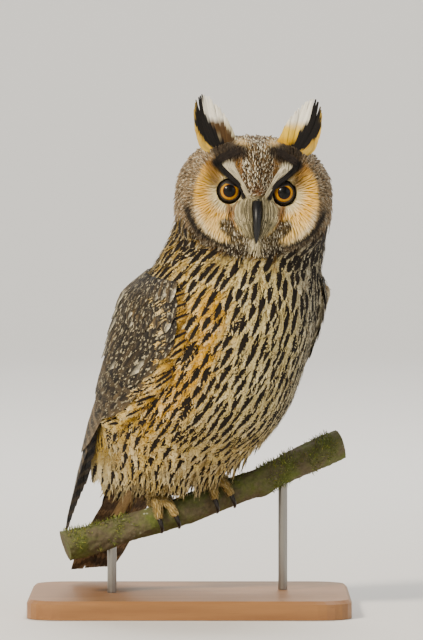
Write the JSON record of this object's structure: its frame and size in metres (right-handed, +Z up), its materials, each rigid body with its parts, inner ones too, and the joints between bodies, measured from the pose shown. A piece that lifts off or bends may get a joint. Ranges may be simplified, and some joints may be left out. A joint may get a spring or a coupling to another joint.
{
  "type": "perched owl model",
  "caption": "Long-eared owl perched on a cut branch, body turned three-quarters and face to the front, held by a flat display base and short rods.",
  "frame": {"origin": "middle of the stand base's underside", "axes": "+Z up, the face looks along -Y, +X to the right of the picture"},
  "size_m": [0.244, 0.22, 0.3933],
  "materials": {
    "feathers_head": "matte, fine feathers",
    "feathers_neck": "matte, fine feathers",
    "feathers_breast": "matte, streaked feathers",
    "feathers_belly": "matte, streaked feathers",
    "bill_horn": "smooth blackish horn",
    "eye": "wet and clear, orange under it",
    "feathers_tuft": "matte, black-centred feathers",
    "feathers_wing": "matte, barred flight feathers",
    "feathers_tail": "matte, barred tail feathers",
    "feathers_foot": "matte, short feathers",
    "claw_horn": "smooth black horn",
    "bark": "rough bark with moss and lichen",
    "base_wood": "planed and oiled",
    "rod_steel": "brushed"
  },
  "bodies": {
    "root": {"head": "feathers_head", "neck": "feathers_neck", "torso": "feathers_breast", "belly": "feathers_belly", "bill_upper": "bill_horn", "bill_lower": "bill_horn", "eye_right": "eye", "eye_left": "eye", "ear_tuft_right": "feathers_tuft", "ear_tuft_left": "feathers_tuft", "wing_right": "feathers_wing", "wing_left": "feathers_wing", "tail": "feathers_tail", "foot_right": "feathers_foot", "foot_left": "feathers_foot", "claw_right_1": "claw_horn", "claw_right_2": "claw_horn", "claw_right_3": "claw_horn", "claw_right_4": "claw_horn", "claw_left_1": "claw_horn", "claw_left_2": "claw_horn", "claw_left_3": "claw_horn", "claw_left_4": "claw_horn", "perch_branch": "bark", "stand_base": "base_wood", "stand_rod_1": "rod_steel", "stand_rod_2": "rod_steel"}
  },
  "joints": []
}
